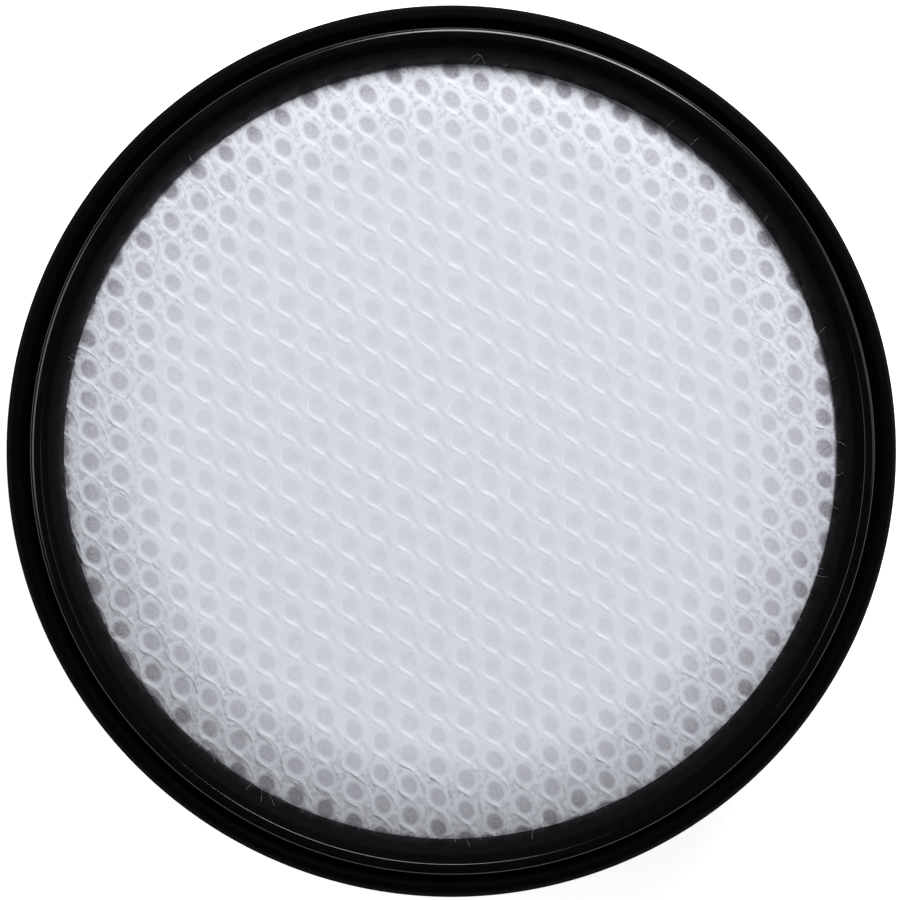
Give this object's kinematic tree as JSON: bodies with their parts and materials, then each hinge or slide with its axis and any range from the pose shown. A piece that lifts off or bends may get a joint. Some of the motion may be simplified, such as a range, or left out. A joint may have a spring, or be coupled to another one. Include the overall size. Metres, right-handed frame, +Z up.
{
  "type": "vacuum cleaner filter",
  "caption": "Round filter cartridge with a black moulded frame, a rubber seal, a white domed knit mesh on the inlet side and pleated media behind a flat grille.",
  "frame": {"origin": "centre of the foot, on the surface that the filter stands on", "axes": "+Z up along the axis of the round, from the grille side to the mesh side; +Y towards the top of the picture"},
  "size_m": [0.093, 0.093, 0.025],
  "materials": {
    "black_plastic": "glossy moulded black",
    "black_rubber": "matte black",
    "white_knit": "white knitted polyester",
    "filter_paper": "white fibrous filter paper"
  },
  "bodies": {
    "root": {"frame": "black_plastic", "sealing_ring": "black_rubber", "mesh_cover": "white_knit", "pleated_media": "filter_paper", "support_grid": "black_plastic"}
  },
  "joints": []
}
